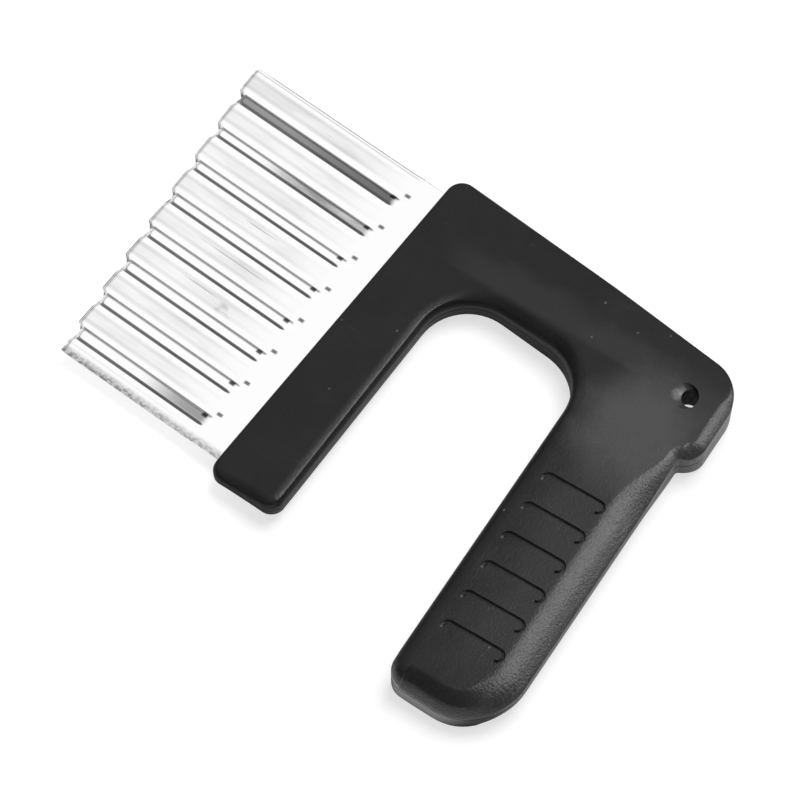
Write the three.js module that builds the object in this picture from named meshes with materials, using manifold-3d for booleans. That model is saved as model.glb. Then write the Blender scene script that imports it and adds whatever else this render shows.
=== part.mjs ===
// Crinkle cutter: a corrugated blade whose flat tang is pinned between the two halves of a U-shaped handle.
// Millimetres, +Z up. The tool lies flat, and the origin is the middle of the grip's underside.
// +Y runs along the grip to the bridge, and +X from the cutting edge to the palm.
import * as THREE from "three";
import { mergeVertices } from "three/addons/utils/BufferGeometryUtils.js";
import Module from "manifold-3d";

const wasm = await Module();
wasm.setup();

// Handle, seen from above
const GRIP_WIDTH = 27.4; // gap side to palm side
const BUTT_DROP = 35.2; // origin to the butt's end
const BUTT_GAP_R = 4.2;
const BUTT_PALM_R = 15;
const GAP_WIDTH = 40; // grip to spine, at the origin
const GAP_LEAN = 3.4; // the spine's gap side, in degrees from the grip
const ARCH_RISE = 49.1; // origin to the arch, at the grip
const ARCH_LEAN = 2.8; // degrees
const ARCH_GRIP_R = 9;
const ARCH_SPINE_R = 13;
const SPINE_WIDTH = 17.5; // gap side to blade side, at the origin
const SPINE_LEAN = 5.2; // the spine's blade side, in degrees from the grip
const SPINE_DROP = 17.1; // origin to the spine's free end
const SPINE_END_GAP_R = 3.6;
const SPINE_END_BLADE_R = 3;
const SPINE_TOP_R = 4;
const BRIDGE_DEPTH = 18.9; // arch to the outer side, at the grip
const BRIDGE_LEAN = 5.8; // the bridge's outer side, in degrees
const LOBE_STEP = 4; // how far the lobe stands out past the palm side
const LOBE_R = 9.1; // round the hang hole
const LOBE_FOOT_R = 6.4;
const LOBE_FOOT_SLOPE = 22.6; // degrees
const NOTCH_RISE = 43; // origin to the notch between lobe and palm side

// Handle, seen from the side
const GRIP_THICKNESS = 13.6;
const SPINE_THICKNESS = 5.2; // at the spine's blade side
const SEAM = 0.2; // between the two halves
const SEAM_LAND = 0.8; // upright strip beside the seam
const EDGE_R = 1.6; // spine, bridge and lobe
const GAP_EDGE_R = 3.6; // the grip's gap side
const PALM_EDGE_R = 8; // the grip's palm side
const BUTT_UNDER_R = 1.8; // the butt's edge on the lower half
const EDGE_BLEND = 10; // over which the grip's edges soften
const WALL = 2.4; // round the hollow in the grip
const HOLLOW_R = 4;
const BUTT_BLOCK = 11; // solid plastic at the butt

// Hang hole and grip marks
const HANG_HOLE_R = 2.1;
const COUNTERSINK_R = 3.5;
const COUNTERSINK_DEPTH = 1.3;
const MARK_COUNT = 6;
const MARK_PITCH = 8.15;
const MARK_LENGTH = 15.4;
const MARK_HEIGHT = 4.6;
const MARK_DEPTH = 0.9; // at the edge towards the bridge, running out to nothing
const MARK_R = 2;
const MARK_LEAN = 3; // degrees, up towards the palm
const MARKS_RISE = 22.7; // origin to the first mark's deep edge

// Blade
const BLADE_GAUGE = 1;
const BLADE_INSET = 4.6; // from the spine's outer corner to the blade's near side, across the ridges
const RIDGE_LEAN = 3; // the ridges, in degrees from square to the grip
const EDGE_REACH = 49.4; // spine to the troughs' cutting edge, at the blade's middle
const EDGE_LEAN = 4.4; // the cutting edge, in degrees from square to the ridges
const EDGE_BEVEL = 1.2; // width of the ground bevel
const EDGE_LAND = 0.15; // thickness left at the cutting edge
const RIDGE_SETBACK = 1.3; // how much shorter the grinding leaves the ridges
const WAVE_COUNT = 8;
const WAVE_HEIGHT = 2.6;
const TROUGH = 3.8;
const RIDGE = 2.2;
const FLANK = 1.87; // length of the slope between trough and ridge
const LAST_TROUGH = 1.6; // left of the trough at the free end
const BEND = 0.9; // where each bend starts to round, from its corner
const FLAT_STRIP = 6; // flat sheet in front of the spine
const RUN_OUT = 3.4; // over which the waves sink into the flat strip
const TANG_DEPTH = 11.5; // flat sheet inside the spine
const TANG_FIT = 0.3;

// Pins through the tang and pegs between the halves
const PIN_COUNT = 4;
const PIN_R = 2;
const PIN_LENGTH = 4.4;
const PIN_INSET = 6.4; // from the spine's blade side
const PIN_MARGIN = 9; // from the blade's sides to the outer pins
const PIN_FIT = 0.2;
const PEG_R = 2.2;
const PEG_LENGTH = 2.6;
const PEG_FIT = 0.2;

// Values that follow from the sizes above
const GRIP_HALF = GRIP_THICKNESS / 2;
const PALM_X = GRIP_WIDTH / 2;
const LOBE_X = PALM_X + LOBE_STEP;
const TAPER = (GRIP_HALF - SPINE_THICKNESS / 2) / (GAP_WIDTH + SPINE_WIDTH);
const WAVE_PITCH = TROUGH + RIDGE + 2 * FLANK;
const BLADE_WIDTH = WAVE_COUNT * WAVE_PITCH + FLANK + LAST_TROUGH;
const ARC_STEPS = 4;
const EDGE_STEPS = 4;
const ROUND_STEPS = 20;
const BEND_STEPS = 2;
const SAME_POINT = 1e-4; // points closer than this are one

const degrees = THREE.MathUtils.degToRad;

// Straight lines in plan, each through a point at an angle in degrees
const lineAt = (x, y, angle) => ({ x, y, dx: Math.cos(degrees(angle)), dy: Math.sin(degrees(angle)) });
const gapSide = lineAt(-PALM_X - GAP_WIDTH, 0, 90 - GAP_LEAN);
const bladeSide = lineAt(-PALM_X - GAP_WIDTH - SPINE_WIDTH, 0, 90 - SPINE_LEAN);
const arch = lineAt(-PALM_X, ARCH_RISE, -ARCH_LEAN);
const outerSide = lineAt(-PALM_X, ARCH_RISE + BRIDGE_DEPTH, -BRIDGE_LEAN);
const spineEnd = lineAt(0, -SPINE_DROP, 0);
const gripGapSide = lineAt(-PALM_X, 0, 90);
const lobeSide = lineAt(LOBE_X, 0, 90);
const hangLine = lineAt(LOBE_X - LOBE_R, 0, 90);

function crossing(a, b) {
  const turn = a.dx * b.dy - a.dy * b.dx;
  const along = ((b.x - a.x) * b.dy - (b.y - a.y) * b.dx) / turn;
  return [a.x + along * a.dx, a.y + along * a.dy];
}

// Solids: a geometry becomes a manifold, and a manifold becomes a mesh's geometry
function solid(geometry) {
  const bare = geometry.index ? geometry.toNonIndexed() : geometry.clone();
  bare.deleteAttribute("normal");
  bare.deleteAttribute("uv");
  const merged = mergeVertices(bare, SAME_POINT);
  const vertProperties = new Float32Array(merged.attributes.position.array);
  const triVerts = new Uint32Array(merged.index.array);
  return new wasm.Manifold(new wasm.Mesh({ numProp: 3, vertProperties, triVerts }));
}

function geometryOf(manifold) {
  const mesh = manifold.getMesh();
  const geometry = new THREE.BufferGeometry();
  geometry.setAttribute("position", new THREE.BufferAttribute(mesh.vertProperties, 3));
  geometry.setIndex(new THREE.BufferAttribute(mesh.triVerts, 1));
  geometry.computeVertexNormals();
  return geometry;
}

// A closed outline through corners [x, y, radius], counter-clockwise, each corner rounded by an arc
function roundedOutline(corners) {
  const shape = new THREE.Shape();
  corners.forEach(([x, y, radius], i) => {
    const before = corners[(i + corners.length - 1) % corners.length];
    const after = corners[(i + 1) % corners.length];
    const corner = new THREE.Vector2(x, y);
    const back = new THREE.Vector2(before[0] - x, before[1] - y).normalize();
    const ahead = new THREE.Vector2(after[0] - x, after[1] - y).normalize();
    const half = Math.acos(THREE.MathUtils.clamp(back.dot(ahead), -1, 1)) / 2;
    const start = corner.clone().addScaledVector(back, radius ? radius / Math.tan(half) : 0);
    if (i === 0) shape.moveTo(start.x, start.y);
    else shape.lineTo(start.x, start.y);
    if (!radius) return;
    const middle = back.clone().add(ahead).normalize();
    const centre = corner.clone().addScaledVector(middle, radius / Math.sin(half));
    const end = corner.clone().addScaledVector(ahead, radius / Math.tan(half));
    const from = Math.atan2(start.y - centre.y, start.x - centre.x);
    const to = Math.atan2(end.y - centre.y, end.x - centre.x);
    const clockwise = back.cross(ahead) > 0;
    shape.absarc(centre.x, centre.y, radius, from, to, clockwise);
  });
  shape.closePath();
  return shape;
}

function extruded(shape, low, high) {
  const options = { depth: high - low, bevelEnabled: false, curveSegments: ARC_STEPS };
  return solid(new THREE.ExtrudeGeometry(shape, options).translate(0, 0, low));
}

function cylinder(x, y, low, high, radius, topRadius = radius) {
  const geometry = new THREE.CylinderGeometry(topRadius, radius, high - low, ROUND_STEPS);
  return solid(geometry.rotateX(Math.PI / 2).translate(x, y, (low + high) / 2));
}

function block(lowX, highX, lowY, highY, lowZ, highZ) {
  const geometry = new THREE.BoxGeometry(highX - lowX, highY - lowY, highZ - lowZ);
  return solid(geometry.translate((lowX + highX) / 2, (lowY + highY) / 2, (lowZ + highZ) / 2));
}

// The handle's outline, with extra points along the grip where its edges soften
const notch = [PALM_X, NOTCH_RISE];
const lobeFoot = [LOBE_X, NOTCH_RISE + LOBE_STEP * Math.tan(degrees(LOBE_FOOT_SLOPE))];
const softening = [0.25, 0.5, 0.75, 1].map((share) => share * EDGE_BLEND);
const gapStart = ARCH_RISE - ARCH_GRIP_R;
const handleOutline = roundedOutline([
  [...crossing(bladeSide, spineEnd), SPINE_END_BLADE_R],
  [...crossing(spineEnd, gapSide), SPINE_END_GAP_R],
  [...crossing(gapSide, arch), ARCH_SPINE_R],
  [...crossing(arch, gripGapSide), ARCH_GRIP_R],
  ...softening.map((drop) => [-PALM_X, gapStart - drop, 0]),
  [-PALM_X, -BUTT_DROP, BUTT_GAP_R],
  [PALM_X, -BUTT_DROP, BUTT_PALM_R],
  ...softening.toReversed().map((drop) => [PALM_X, NOTCH_RISE - drop, 0]),
  [...notch, 0],
  [...lobeFoot, LOBE_FOOT_R],
  [...crossing(lobeSide, outerSide), LOBE_R],
  [...crossing(outerSide, bladeSide), SPINE_TOP_R],
]);

// How far the edge is rounded at a point of the outline: little on the plate, more round the grip
function edgeRadius(x, y, under) {
  if (x < -PALM_X - SAME_POINT) return EDGE_R;
  const start = THREE.MathUtils.lerp(gapStart, NOTCH_RISE, (x + PALM_X) / GRIP_WIDTH);
  const soft = THREE.MathUtils.smoothstep(start - y, 0, EDGE_BLEND);
  const across = THREE.MathUtils.smoothstep(x, -PALM_X + BUTT_GAP_R, PALM_X - BUTT_GAP_R);
  const side = THREE.MathUtils.lerp(GAP_EDGE_R, PALM_EDGE_R, across);
  const tight = under ? 1 - THREE.MathUtils.smoothstep(y + BUTT_DROP, 0, EDGE_BLEND) : 0;
  return THREE.MathUtils.lerp(EDGE_R, THREE.MathUtils.lerp(side, BUTT_UNDER_R, tight), soft);
}

// A plate from the seam up to GRIP_HALF, whose rim rises in rounded rings
function roundedPlate(shape, under) {
  const all = shape.getPoints(ARC_STEPS);
  const rim = all.filter((point, i) => point.distanceTo(all[(i + 1) % all.length]) > SAME_POINT);
  const inward = rim.map((point, i) => {
    const before = point.clone().sub(rim[(i + rim.length - 1) % rim.length]).normalize();
    const after = rim[(i + 1) % rim.length].clone().sub(point).normalize();
    const sum = new THREE.Vector2(-before.y - after.y, before.x + after.x);
    return sum.divideScalar(1 + before.dot(after));
  });
  const rings = [rim.map((p) => [p.x, p.y, SEAM / 2])];
  for (let step = 0; step <= EDGE_STEPS; step++) {
    const turn = ((Math.PI / 2) * step) / EDGE_STEPS;
    rings.push(
      rim.map((p, i) => {
        const radius = edgeRadius(p.x, p.y, under);
        const rise = Math.min(radius, GRIP_HALF - SEAM_LAND);
        const inset = radius * (1 - Math.cos(turn));
        const z = GRIP_HALF - rise * (1 - Math.sin(turn));
        return [p.x + inward[i].x * inset, p.y + inward[i].y * inset, z];
      }),
    );
  }
  const count = rim.length;
  const index = [];
  for (let ring = 0; ring + 1 < rings.length; ring++) {
    for (let i = 0; i < count; i++) {
      const a = ring * count + i;
      const b = ring * count + ((i + 1) % count);
      index.push(a, b, b + count, a, b + count, a + count);
    }
  }
  const flat = (ring) => ring.map(([x, y]) => new THREE.Vector2(x, y));
  const top = (rings.length - 1) * count;
  THREE.ShapeUtils.triangulateShape(flat(rings[0]), []).forEach(([a, b, c]) => index.push(a, c, b));
  THREE.ShapeUtils.triangulateShape(flat(rings.at(-1)), []).forEach(([a, b, c]) => {
    index.push(top + a, top + b, top + c);
  });
  const geometry = new THREE.BufferGeometry();
  geometry.setAttribute("position", new THREE.Float32BufferAttribute(rings.flat(2), 3));
  geometry.setIndex(index);
  return solid(geometry);
}

// The outside of one half: level over the grip, tapering from the grip's gap side towards the blade
const FAR = 400;
function halfBody(under) {
  const plate = roundedPlate(handleOutline, under);
  const level = plate.intersect(block(-PALM_X, FAR, -FAR, FAR, -FAR, FAR));
  const taper = new THREE.Matrix4().set(1, 0, 0, 0, 0, 1, 0, 0, TAPER, 0, 1, TAPER * PALM_X, 0, 0, 0, 1);
  const deep = plate.add(extruded(handleOutline, -GRIP_HALF, SEAM));
  const leaning = solid(geometryOf(deep).applyMatrix4(taper));
  return level.add(leaning.intersect(block(-FAR, -PALM_X, -FAR, FAR, SEAM / 2, FAR)));
}

// Places that both halves share
const hangHole = crossing(hangLine, { ...outerSide, y: outerSide.y - LOBE_R / outerSide.dx });
const pegPlaces = [
  [-PALM_X - GAP_WIDTH / 2, ARCH_RISE + BRIDGE_DEPTH / 2],
  [0, ARCH_RISE + BRIDGE_DEPTH / 2],
  [0, -BUTT_DROP + BUTT_BLOCK / 2],
];

function hollow() {
  const left = -PALM_X + GAP_EDGE_R;
  const right = PALM_X - PALM_EDGE_R + WALL;
  const low = -BUTT_DROP + BUTT_BLOCK;
  const high = NOTCH_RISE;
  const corners = [[left, low], [right, low], [right, high], [left, high]];
  return extruded(roundedOutline(corners.map((corner) => [...corner, HOLLOW_R])), -SEAM, GRIP_HALF - WALL);
}

function hangHoleCut() {
  const [x, y] = hangHole;
  const flare = (COUNTERSINK_R - HANG_HOLE_R) / COUNTERSINK_DEPTH;
  const sink = GRIP_HALF - COUNTERSINK_DEPTH;
  const through = cylinder(x, y, -SEAM, GRIP_HALF, HANG_HOLE_R);
  return through.add(cylinder(x, y, sink, GRIP_HALF + SEAM, HANG_HOLE_R, COUNTERSINK_R + flare * SEAM));
}

// A grip mark's cut has a floor that sinks towards the bridge
function markCut(index) {
  const left = -MARK_LENGTH / 2;
  const right = MARK_LENGTH / 2;
  const corners = [[left, -MARK_HEIGHT], [right, -MARK_HEIGHT], [right, 0], [left, 0]];
  const shape = roundedOutline(corners.map((corner) => [...corner, MARK_R]));
  const options = { depth: MARK_HEIGHT, bevelEnabled: false, curveSegments: ARC_STEPS };
  const geometry = new THREE.ExtrudeGeometry(shape, options).translate(0, MARK_HEIGHT, 0);
  geometry.rotateX(-Math.atan(MARK_DEPTH / MARK_HEIGHT)).rotateZ(degrees(MARK_LEAN));
  return solid(geometry.translate(0, MARKS_RISE - index * MARK_PITCH - MARK_HEIGHT, GRIP_HALF));
}

// Blade, in its own axes: u along the ridges to the spine, v across them, turned by RIDGE_LEAN
const turned = (manifold) => manifold.rotate([0, 0, -RIDGE_LEAN]);
const toBlade = ([x, y]) => {
  const point = new THREE.Vector2(x, y).rotateAround(new THREE.Vector2(), degrees(RIDGE_LEAN));
  return [point.x, point.y];
};
const spineFoot = toBlade([bladeSide.x, bladeSide.y]);
const spineAt = (v) => spineFoot[0] + (v - spineFoot[1]) * Math.tan(degrees(SPINE_LEAN - RIDGE_LEAN));
const BLADE_TOP = toBlade(crossing(outerSide, bladeSide))[1] - BLADE_INSET;
const BLADE_LOW = BLADE_TOP - BLADE_WIDTH;
const bladeMiddle = (BLADE_TOP + BLADE_LOW) / 2;
const edgeAt = (v) =>
  spineAt(bladeMiddle) - EDGE_REACH - (v - bladeMiddle) * Math.tan(degrees(EDGE_LEAN));

// The corrugation's middle line from the side near the bridge to the free end: v runs down, z is its height
function waveLine() {
  const corners = [[BLADE_TOP, 1]];
  let v = BLADE_TOP;
  const step = (length, level) => {
    v -= length;
    corners.push([v, level]);
  };
  for (let wave = 0; wave < WAVE_COUNT; wave++) {
    step(FLANK, -1);
    step(TROUGH, -1);
    step(FLANK, 1);
    step(RIDGE, 1);
  }
  step(FLANK, -1);
  step(LAST_TROUGH, -1);
  const path = new THREE.Path();
  const at = ([along, level]) => new THREE.Vector2(along, (level * WAVE_HEIGHT) / 2);
  const points = corners.map(at);
  path.moveTo(points[0].x, points[0].y);
  points.slice(1, -1).forEach((corner, i) => {
    const into = points[i].clone().sub(corner).setLength(BEND).add(corner);
    const out = points[i + 2].clone().sub(corner).setLength(BEND).add(corner);
    path.lineTo(into.x, into.y);
    path.quadraticCurveTo(corner.x, corner.y, out.x, out.y);
  });
  path.lineTo(points.at(-1).x, points.at(-1).y);
  return path.getPoints(BEND_STEPS);
}

// The sheet: rows of sections from the cutting edge to the tang's end, each a strip of paired points
function bladeSheet() {
  const line = waveLine();
  const slopes = line.map((point, i) => {
    const before = line[Math.max(i - 1, 0)];
    const after = line[Math.min(i + 1, line.length - 1)];
    return after.clone().sub(before).normalize();
  });
  const runStart = FLAT_STRIP + RUN_OUT;
  const runShares = [0, 0.25, 0.5, 0.75, 1];
  const rows = [
    { u: edgeAt, setback: 1, rise: 1, upper: -BLADE_GAUGE / 2 + EDGE_LAND },
    { u: (v) => edgeAt(v) + EDGE_BEVEL, setback: 1, rise: 1, upper: BLADE_GAUGE / 2 },
    ...runShares.map((share) => ({
      u: (v) => spineAt(v) - runStart + share * RUN_OUT,
      setback: 0,
      rise: 1 - THREE.MathUtils.smoothstep(share, 0, 1),
      upper: BLADE_GAUGE / 2,
    })),
    { u: (v) => spineAt(v) + TANG_DEPTH, setback: 0, rise: 0, upper: BLADE_GAUGE / 2 },
  ];
  const position = [];
  for (const { u, setback, rise, upper } of rows) {
    for (const offset of [upper, -BLADE_GAUGE / 2]) {
      line.forEach((point, i) => {
        const across = new THREE.Vector2(-slopes[i].y * rise, -slopes[i].x).normalize().negate();
        const v = point.x - across.x * offset;
        const short = setback * RIDGE_SETBACK * (point.y / WAVE_HEIGHT + 1 / 2);
        position.push(u(point.x) + short, v, point.y * rise + Math.abs(across.y) * offset);
      });
    }
  }
  const count = line.length;
  const at = (row, side, i) => (row * 2 + side) * count + i;
  const index = [];
  const quad = (a, b, c, d) => index.push(a, b, c, a, c, d);
  for (let row = 0; row + 1 < rows.length; row++) {
    for (let i = 0; i + 1 < count; i++) {
      quad(at(row, 0, i), at(row, 0, i + 1), at(row + 1, 0, i + 1), at(row + 1, 0, i));
      quad(at(row, 1, i), at(row + 1, 1, i), at(row + 1, 1, i + 1), at(row, 1, i + 1));
    }
    quad(at(row, 0, 0), at(row + 1, 0, 0), at(row + 1, 1, 0), at(row, 1, 0));
    const end = count - 1;
    quad(at(row, 0, end), at(row, 1, end), at(row + 1, 1, end), at(row + 1, 0, end));
  }
  const last = rows.length - 1;
  for (let i = 0; i + 1 < count; i++) {
    quad(at(0, 0, i), at(0, 1, i), at(0, 1, i + 1), at(0, 0, i + 1));
    quad(at(last, 0, i), at(last, 0, i + 1), at(last, 1, i + 1), at(last, 1, i));
  }
  const geometry = new THREE.BufferGeometry();
  geometry.setAttribute("position", new THREE.Float32BufferAttribute(position, 3));
  geometry.setIndex(index);
  return solid(geometry);
}

const pinPlaces = Array.from({ length: PIN_COUNT }, (_, i) => {
  const share = i / (PIN_COUNT - 1);
  const v = THREE.MathUtils.lerp(BLADE_LOW + PIN_MARGIN, BLADE_TOP - PIN_MARGIN, share);
  return [spineAt(v) + PIN_INSET, v];
});

function tangPocket() {
  const low = BLADE_LOW - TANG_FIT;
  const high = BLADE_TOP + TANG_FIT;
  const corners = [
    [spineAt(low) - SPINE_WIDTH, low, 0],
    [spineAt(low) + TANG_DEPTH + TANG_FIT, low, 0],
    [spineAt(high) + TANG_DEPTH + TANG_FIT, high, 0],
    [spineAt(high) - SPINE_WIDTH, high, 0],
  ];
  const depth = BLADE_GAUGE / 2 + SEAM;
  return turned(extruded(roundedOutline(corners), -depth, depth));
}

const pinHoles = (radius, reach) =>
  pinPlaces.map(([u, v]) => turned(cylinder(u, v, -reach, reach, radius)));

// The two halves of the handle: the upper one has the pegs, and the lower one is turned over, with sockets
function plainHalf(under) {
  let half = halfBody(under).subtract(hollow()).subtract(tangPocket()).subtract(hangHoleCut());
  for (let i = 0; i < MARK_COUNT; i++) half = half.subtract(markCut(i));
  for (const hole of pinHoles(PIN_R + PIN_FIT, PIN_LENGTH / 2 + PIN_FIT)) half = half.subtract(hole);
  return half;
}

function upperHalf() {
  let half = plainHalf(false);
  for (const [x, y] of pegPlaces) half = half.add(cylinder(x, y, -PEG_LENGTH, SEAM, PEG_R));
  return half;
}

function lowerHalf() {
  let half = plainHalf(true);
  for (const [x, y] of pegPlaces) {
    half = half.subtract(cylinder(x, y, -SEAM, PEG_LENGTH + PEG_FIT, PEG_R + PEG_FIT));
  }
  return half.mirror([0, 0, 1]);
}

function blade() {
  let sheet = turned(bladeSheet());
  for (const hole of pinHoles(PIN_R + PIN_FIT, PIN_LENGTH)) sheet = sheet.subtract(hole);
  return sheet;
}

const plastic = new THREE.MeshStandardMaterial({ color: 0x1c1c1d, roughness: 0.5, metalness: 0 });
const stainless = new THREE.MeshStandardMaterial({ color: 0xd8d9da, roughness: 0.28, metalness: 1 });
const pinSteel = new THREE.MeshStandardMaterial({ color: 0xb4b6b8, roughness: 0.35, metalness: 1 });

const cutter = new THREE.Group();
cutter.position.z = GRIP_HALF;

function place(name, manifold, material) {
  const mesh = new THREE.Mesh(geometryOf(manifold), material);
  mesh.name = name;
  cutter.add(mesh);
}

place("handle_top_half", upperHalf(), plastic);
place("handle_bottom_half", lowerHalf(), plastic);
place("blade", blade(), stainless);
pinHoles(PIN_R, PIN_LENGTH / 2).forEach((pin, i) => place(`tang_pin_${i + 1}`, pin, pinSteel));

const crinkleCutter = new THREE.Group();
crinkleCutter.add(cutter);
export default crinkleCutter;
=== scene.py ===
"""Looks of the crinkle cutter: a moulded handle in two halves and a corrugated stainless blade."""
from math import atan, atan2, cos, pi, radians, sin, tan

import bmesh
import bpy
from bpy.props import FloatProperty, FloatVectorProperty, IntProperty, PointerProperty
from mathutils import Matrix, Vector
from mathutils.geometry import intersect_point_line


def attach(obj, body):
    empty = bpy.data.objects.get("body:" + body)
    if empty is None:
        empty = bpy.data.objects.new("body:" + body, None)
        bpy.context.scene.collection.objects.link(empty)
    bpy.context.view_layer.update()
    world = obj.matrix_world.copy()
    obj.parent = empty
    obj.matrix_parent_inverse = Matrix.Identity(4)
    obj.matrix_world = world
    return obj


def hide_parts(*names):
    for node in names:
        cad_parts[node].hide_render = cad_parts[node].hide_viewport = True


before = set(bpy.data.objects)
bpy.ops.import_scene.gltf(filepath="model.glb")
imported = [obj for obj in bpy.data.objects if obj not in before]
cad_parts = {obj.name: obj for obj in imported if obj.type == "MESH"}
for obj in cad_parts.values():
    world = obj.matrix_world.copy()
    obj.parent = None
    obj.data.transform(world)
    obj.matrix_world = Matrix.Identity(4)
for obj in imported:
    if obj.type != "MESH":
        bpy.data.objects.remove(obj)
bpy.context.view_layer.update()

bl_info = {
    "name": "Crinkle cutter",
    "version": (1, 0, 0),
    "blender": (4, 5, 0),
    "location": "3D View > Sidebar > Cutter",
    "description": "Models and dresses a crinkle cutter with a corrugated blade",
    "category": "Object",
}

# Pieces are shaped in millimetres and brought to metres when they are finished.
MM = 0.001
NEAR = 1e-4  # points closer than this are one point
ON_PLANE = 1e-3  # points closer than this to a plane or a row lie on it
FINE = 1e-6  # within which a cutting plane takes a point as its own
SEAM = 0.2  # gap between the two halves


def length(name, millimetres, description):
    """A size that a user would change, given here in millimetres."""
    return FloatProperty(name=name, description=description, default=millimetres * MM,
                         unit="LENGTH", precision=5)


def lean(name, degrees, description):
    """An angle that a user would change, given here in degrees."""
    return FloatProperty(name=name, description=description, default=radians(degrees), subtype="ANGLE")


def tint(name, colour, description):
    """A colour that a user would change."""
    return FloatVectorProperty(name=name, description=description, default=colour, subtype="COLOR",
                               size=3, min=0, max=1)


class HandleSizes(bpy.types.PropertyGroup):
    """Sizes of the two moulded halves of the handle."""
    grip_width: length("Grip width", 27.4, "Gap side to palm side of the grip")
    grip_thickness: length("Grip thickness", 13.6, "Both halves together at the grip")
    spine_thickness: length("Spine thickness", 5.2, "Both halves together at the blade side")
    butt_drop: length("Butt drop", 35.2, "Origin to the butt's end")
    gap_width: length("Finger gap", 40, "Grip to spine, at the origin")
    gap_lean: lean("Gap lean", 3.4, "Lean of the spine's gap side")
    arch_rise: length("Arch rise", 49.1, "Origin to the arch of the finger gap")
    arch_lean: lean("Arch lean", 2.8, "Lean of the arch")
    spine_width: length("Spine width", 17.5, "Gap side to blade side, at the origin")
    spine_lean: lean("Spine lean", 5.2, "Lean of the spine's blade side")
    spine_drop: length("Spine drop", 17.1, "Origin to the spine's free end")
    bridge_depth: length("Bridge depth", 18.9, "Arch to the outer side")
    bridge_lean: lean("Bridge lean", 5.8, "Lean of the bridge's outer side")
    lobe_step: length("Lobe step", 4, "How far the lobe stands out past the palm side")
    lobe_radius: length("Lobe radius", 9.1, "Rounding of the lobe round the hang hole")
    notch_rise: length("Notch rise", 42.2, "Origin to the notch below the lobe")
    hole_radius: length("Hang hole radius", 2.1, "Bore of the hang hole")
    hole_drop: length("Hang hole drop", 1.2, "Middle of the lobe's rounding to the hang hole, to the butt")
    sink_radius: length("Countersink radius", 3.1, "Wide end of the countersink")
    sink_depth: length("Countersink depth", 1.05, "Depth of the countersink in the upper half")
    under_sink: length("Lower countersink", 3, "Depth of the centred countersink in the lower half")
    sink_shift: length("Countersink shift", 1.3, "How far its wide end stands off the bore's middle")
    sink_turn: lean("Countersink turn", 200, "Which way the countersink's wide end stands off")
    mark_count: IntProperty(name="Grip marks", description="Moulded marks along the grip", default=6, min=0)
    mark_pitch: length("Mark pitch", 8.15, "From one grip mark to the next")
    mark_length: length("Mark length", 15.2, "Length of a mark's loop")
    mark_height: length("Mark height", 2.9, "Height of a mark's hook at the palm end")
    mark_groove: length("Mark groove", 0.6, "Radius of a mark's groove")
    mark_sink: length("Mark sink", 0.34, "How deep the middle of a mark's groove lies")
    mark_fall: length("Mark fall", 0.2, "How much deeper a mark's palm end is")
    mark_shift: length("Mark shift", 1.15, "Middle of the marks from the grip's middle, towards the gap")
    mark_lean: lean("Mark lean", 3, "Lean of the marks, up towards the palm")
    marks_rise: length("Marks rise", 23.2, "Origin to the first mark's upper side")


class BladeSizes(bpy.types.PropertyGroup):
    """Sizes of the corrugated blade."""
    gauge: length("Gauge", 1, "Thickness of the sheet")
    inset: length("Inset", 4.6, "Spine's outer corner to the blade's near side")
    ridge_lean: lean("Ridge lean", 3, "Lean of the ridges from square to the grip")
    reach: length("Reach", 49.4, "Spine to the cutting edge, at the blade's middle")
    edge_lean: lean("Edge lean", 4.4, "Lean of the cutting edge from square to the ridges")
    setback: length("Ridge setback", 0.6, "How much shorter the grinding leaves the ridges")
    ridge_cut: length("Ridge cut", 0.55, "How far each ridge's end stands back behind the troughs' edge")
    edge_skew: length("Edge skew", 0.55, "How much further out a trough's edge ends than it starts")
    bevel: length("Ground bevel", 0.75, "Width of the ground facet along the cutting edge")
    waves: IntProperty(name="Waves", description="Ridges across the blade", default=8, min=1)
    pitch: length("Pitch", 9.65, "From one ridge to the next")
    first_ridge: length("First ridge", 8.4, "Near side to the first ridge's middle")
    width: length("Width", 81.4, "Near side to the free side")
    height: length("Wave height", 0.91, "Trough to ridge")
    flank: length("Flank", 1.25, "Width of a ridge's flank, seen from above")
    crown: length("Crown", 0.25, "Flat top of the first ridge between its flanks")
    crown_growth: length("Crown growth", 0.65, "How much wider the last ridge's flat top is")
    lip: length("Lip", 0.75, "Turned-up strip along the near side")
    flat_strip: length("Flat strip", 6, "Flat sheet in front of the spine")
    run_out: length("Run-out", 3.4, "Over which the waves sink into the flat strip")
    tang: length("Tang", 11.5, "Flat sheet held inside the spine")


class Finishes(bpy.types.PropertyGroup):
    """Colours of the finishes."""
    plastic: tint("Plastic", (0.0078, 0.0078, 0.008), "Black moulded plastic")
    steel: tint("Steel", (0.97, 0.97, 0.972), "Bright rolled stainless steel")
    pin: tint("Pin steel", (0.60, 0.61, 0.62), "Drawn steel of the pins")
    floor: tint("Floor", (0.38, 0.38, 0.38), "Pale studio floor")


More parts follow.
